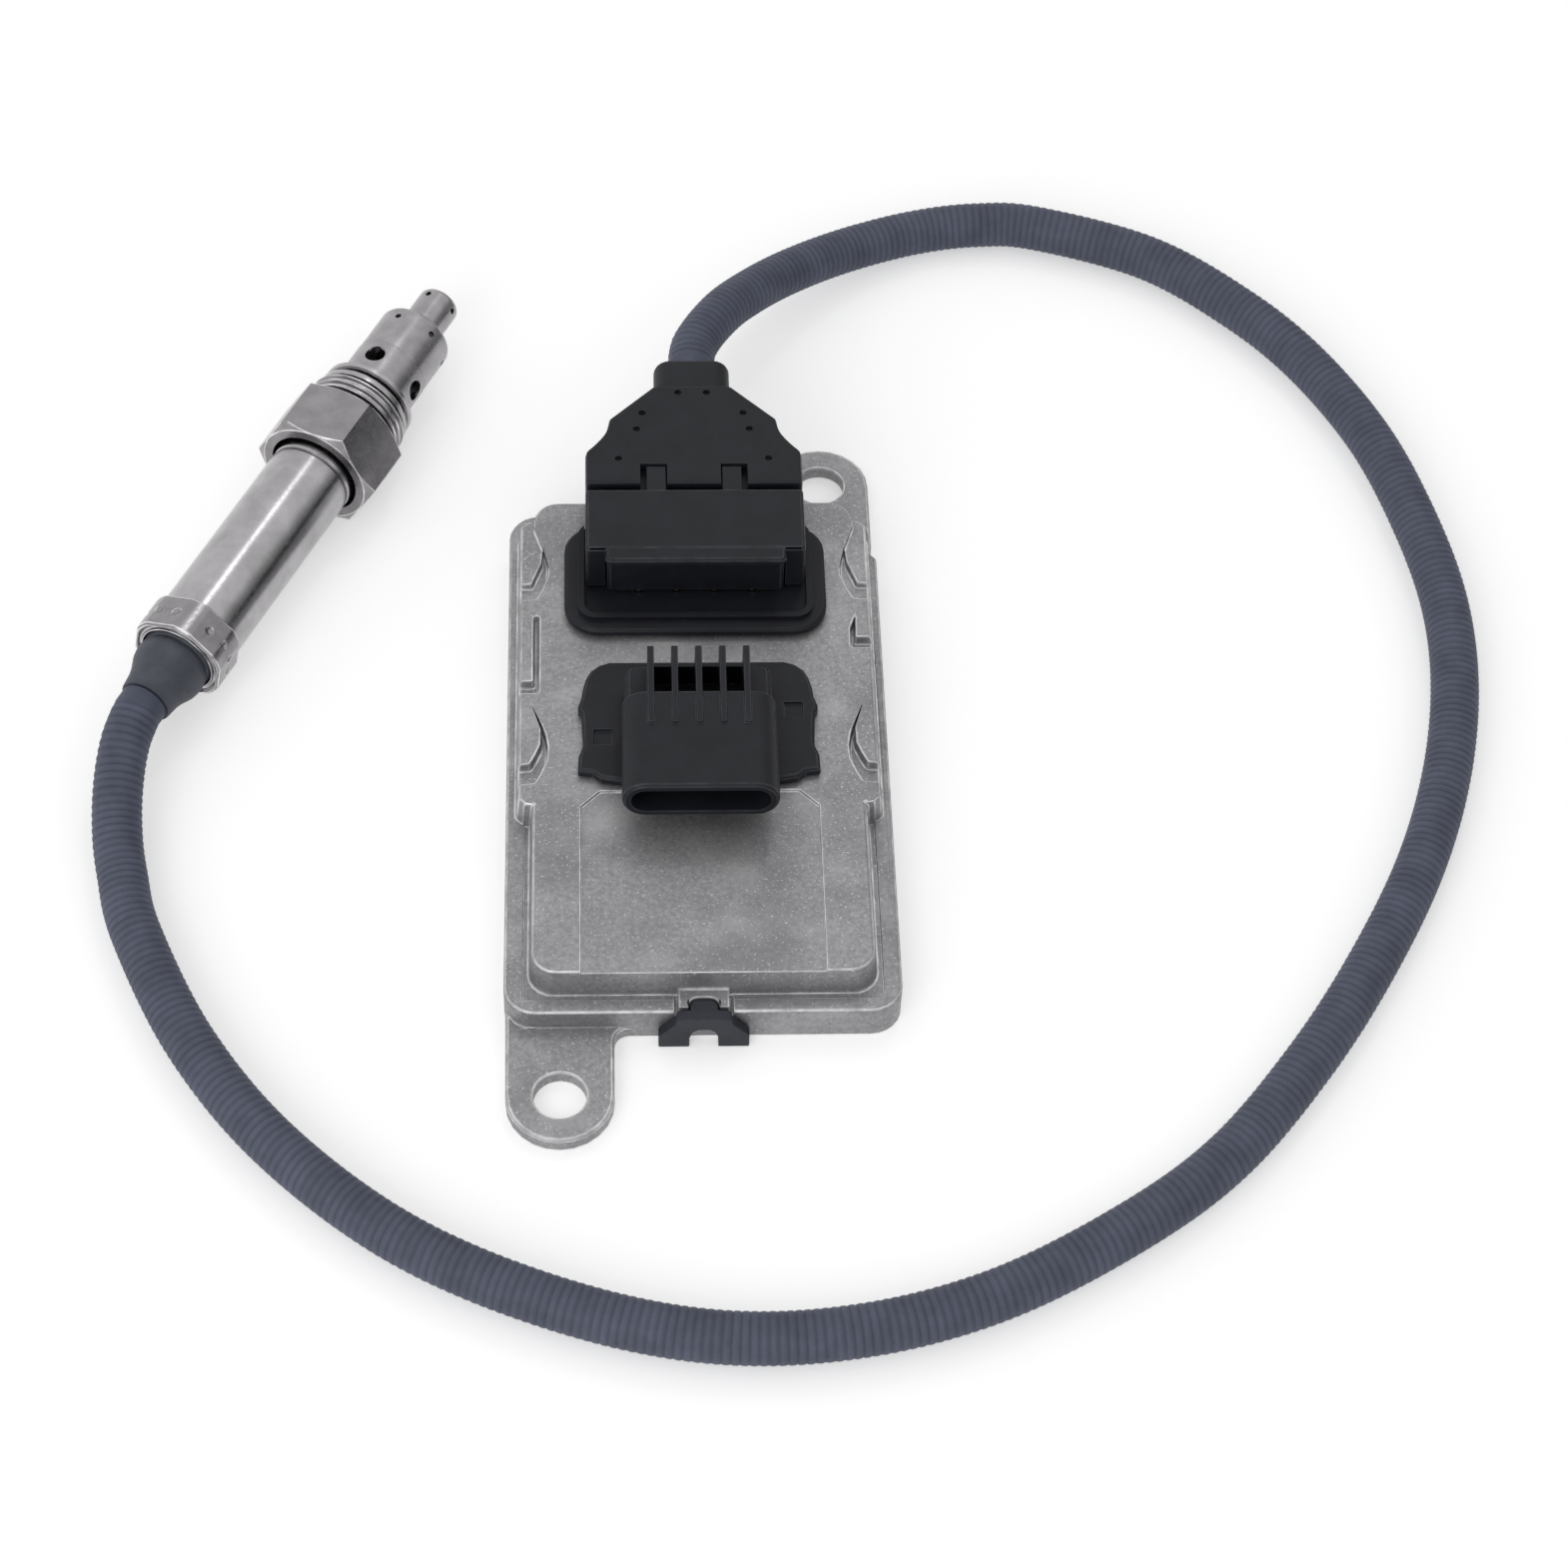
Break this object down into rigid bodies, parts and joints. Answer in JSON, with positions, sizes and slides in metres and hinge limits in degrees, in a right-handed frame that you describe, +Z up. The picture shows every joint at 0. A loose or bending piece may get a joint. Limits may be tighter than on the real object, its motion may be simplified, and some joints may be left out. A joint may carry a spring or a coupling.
{
  "type": "nitrogen oxide sensor",
  "caption": "Exhaust gas sensor: a screw-in steel probe with perforated caps, a sleeved cable and a flat die-cast control unit with mounting ears and a vehicle connector.",
  "frame": {"origin": "centre of the underside of the control unit's base plate, which rests on z = 0", "axes": "+Z up out of the control unit's top, +Y from the vehicle connector to the cable hood, +X to the right seen from above with the hood at the far end"},
  "size_m": [0.2553, 0.2687, 0.0265],
  "materials": {
    "cast_aluminium": "grainy die-cast skin",
    "rolled_aluminium": "rolled sheet",
    "black_plastic": "moulded, satin",
    "slate_rubber": "ribbed braid sleeve and rubber",
    "orange_silicone": "soft seal",
    "stainless_steel": "bright turned steel",
    "zinc_plated_steel": "zinc plated",
    "tinned_brass": "tinned",
    "board_laminate": "solder mask",
    "moulded_chip": "moulded",
    "white_ceramic": "sintered"
  },
  "bodies": {
    "sensor": {"housing_casting": "cast_aluminium", "base_plate": "rolled_aluminium", "connector_shell": "black_plastic", "sensor_header": "black_plastic", "plug_body": "black_plastic", "latch_cover": "black_plastic", "plug_hood": "black_plastic", "front_clip": "black_plastic", "cable": "slate_rubber", "grommet": "slate_rubber", "base_seal": "orange_silicone", "connector_seal": "orange_silicone", "header_seal": "orange_silicone", "sensor_body": "stainless_steel", "seal_ring": "stainless_steel", "probe_tube": "stainless_steel", "crimp_collar": "stainless_steel", "outer_cap": "stainless_steel", "inner_cap": "stainless_steel", "cover_screw_1": "zinc_plated_steel", "cover_screw_2": "zinc_plated_steel", "cover_screw_3": "zinc_plated_steel", "cover_screw_4": "zinc_plated_steel", "board_screw_1": "zinc_plated_steel", "board_screw_2": "zinc_plated_steel", "board_screw_3": "zinc_plated_steel", "board_screw_4": "zinc_plated_steel", "connector_pin_1": "tinned_brass", "connector_pin_2": "tinned_brass", "connector_pin_3": "tinned_brass", "connector_pin_4": "tinned_brass", "connector_pin_5": "tinned_brass", "header_pin_1": "tinned_brass", "header_pin_2": "tinned_brass", "header_pin_3": "tinned_brass", "header_pin_4": "tinned_brass", "header_pin_5": "tinned_brass", "header_pin_6": "tinned_brass", "header_pin_7": "tinned_brass", "header_pin_8": "tinned_brass", "circuit_board": "board_laminate", "microcontroller": "moulded_chip", "heater_driver": "moulded_chip", "bus_transceiver": "moulded_chip", "signal_amplifier": "moulded_chip", "smoothing_inductor": "moulded_chip", "sensing_element": "white_ceramic", "rear_ceramic_bush": "white_ceramic", "powder_packing": "white_ceramic", "front_ceramic_bush": "white_ceramic", "terminal_block": "white_ceramic"},
    "nut": {"union_nut": "stainless_steel"}
  },
  "joints": [
    {"name": "nut_turn", "type": "hinge", "parent": "sensor", "child": "nut", "pos_m": [-0.0952, 0.0193, 0.011], "axis": [0.4509, 0.8926, 0], "continuous": true}
  ]
}
